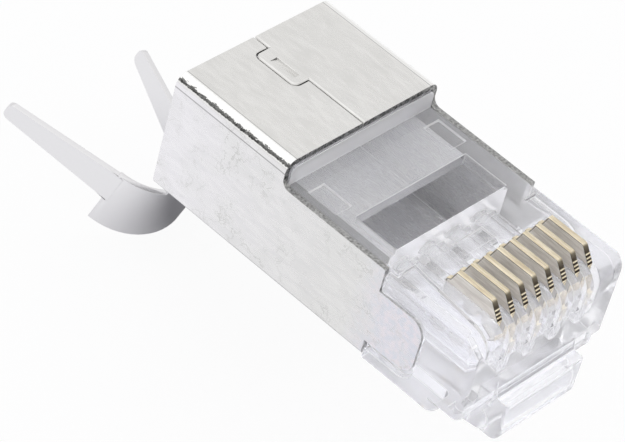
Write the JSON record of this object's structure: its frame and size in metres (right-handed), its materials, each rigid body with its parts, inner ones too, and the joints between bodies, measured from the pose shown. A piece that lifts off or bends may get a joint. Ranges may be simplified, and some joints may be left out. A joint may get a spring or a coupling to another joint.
{
  "type": "shielded rj45 modular plug",
  "caption": "Shielded modular network plug, not yet crimped: clear housing with gold contacts and a latch, in a folded metal shield with a bent-down crimp tail.",
  "frame": {"origin": "middle of the mating face, level with the underside of the shield", "axes": "+Y runs from the mating face towards the cable, +Z towards the contact side, +X across the plug"},
  "size_m": [0.0116, 0.0344, 0.0161],
  "materials": {
    "clear_plastic": "clear moulded polycarbonate",
    "plated_sheet": "nickel-plated sheet, finely scuffed",
    "gold_contact": "gold plated on the crest"
  },
  "bodies": {
    "plug_body": {"housing": "clear_plastic", "shield": "plated_sheet", "contact_1": "gold_contact", "contact_2": "gold_contact", "contact_3": "gold_contact", "contact_4": "gold_contact", "contact_5": "gold_contact", "contact_6": "gold_contact", "contact_7": "gold_contact", "contact_8": "gold_contact"},
    "latch": {"latch_tab": "clear_plastic"}
  },
  "joints": [
    {"name": "latch_press", "type": "hinge", "parent": "plug_body", "child": "latch", "pos_m": [0, 0.00055, -0.00096], "axis": [1, 0, 0], "range_deg": [0, 11], "stiffness_Nm_per_rad": 0.2}
  ]
}
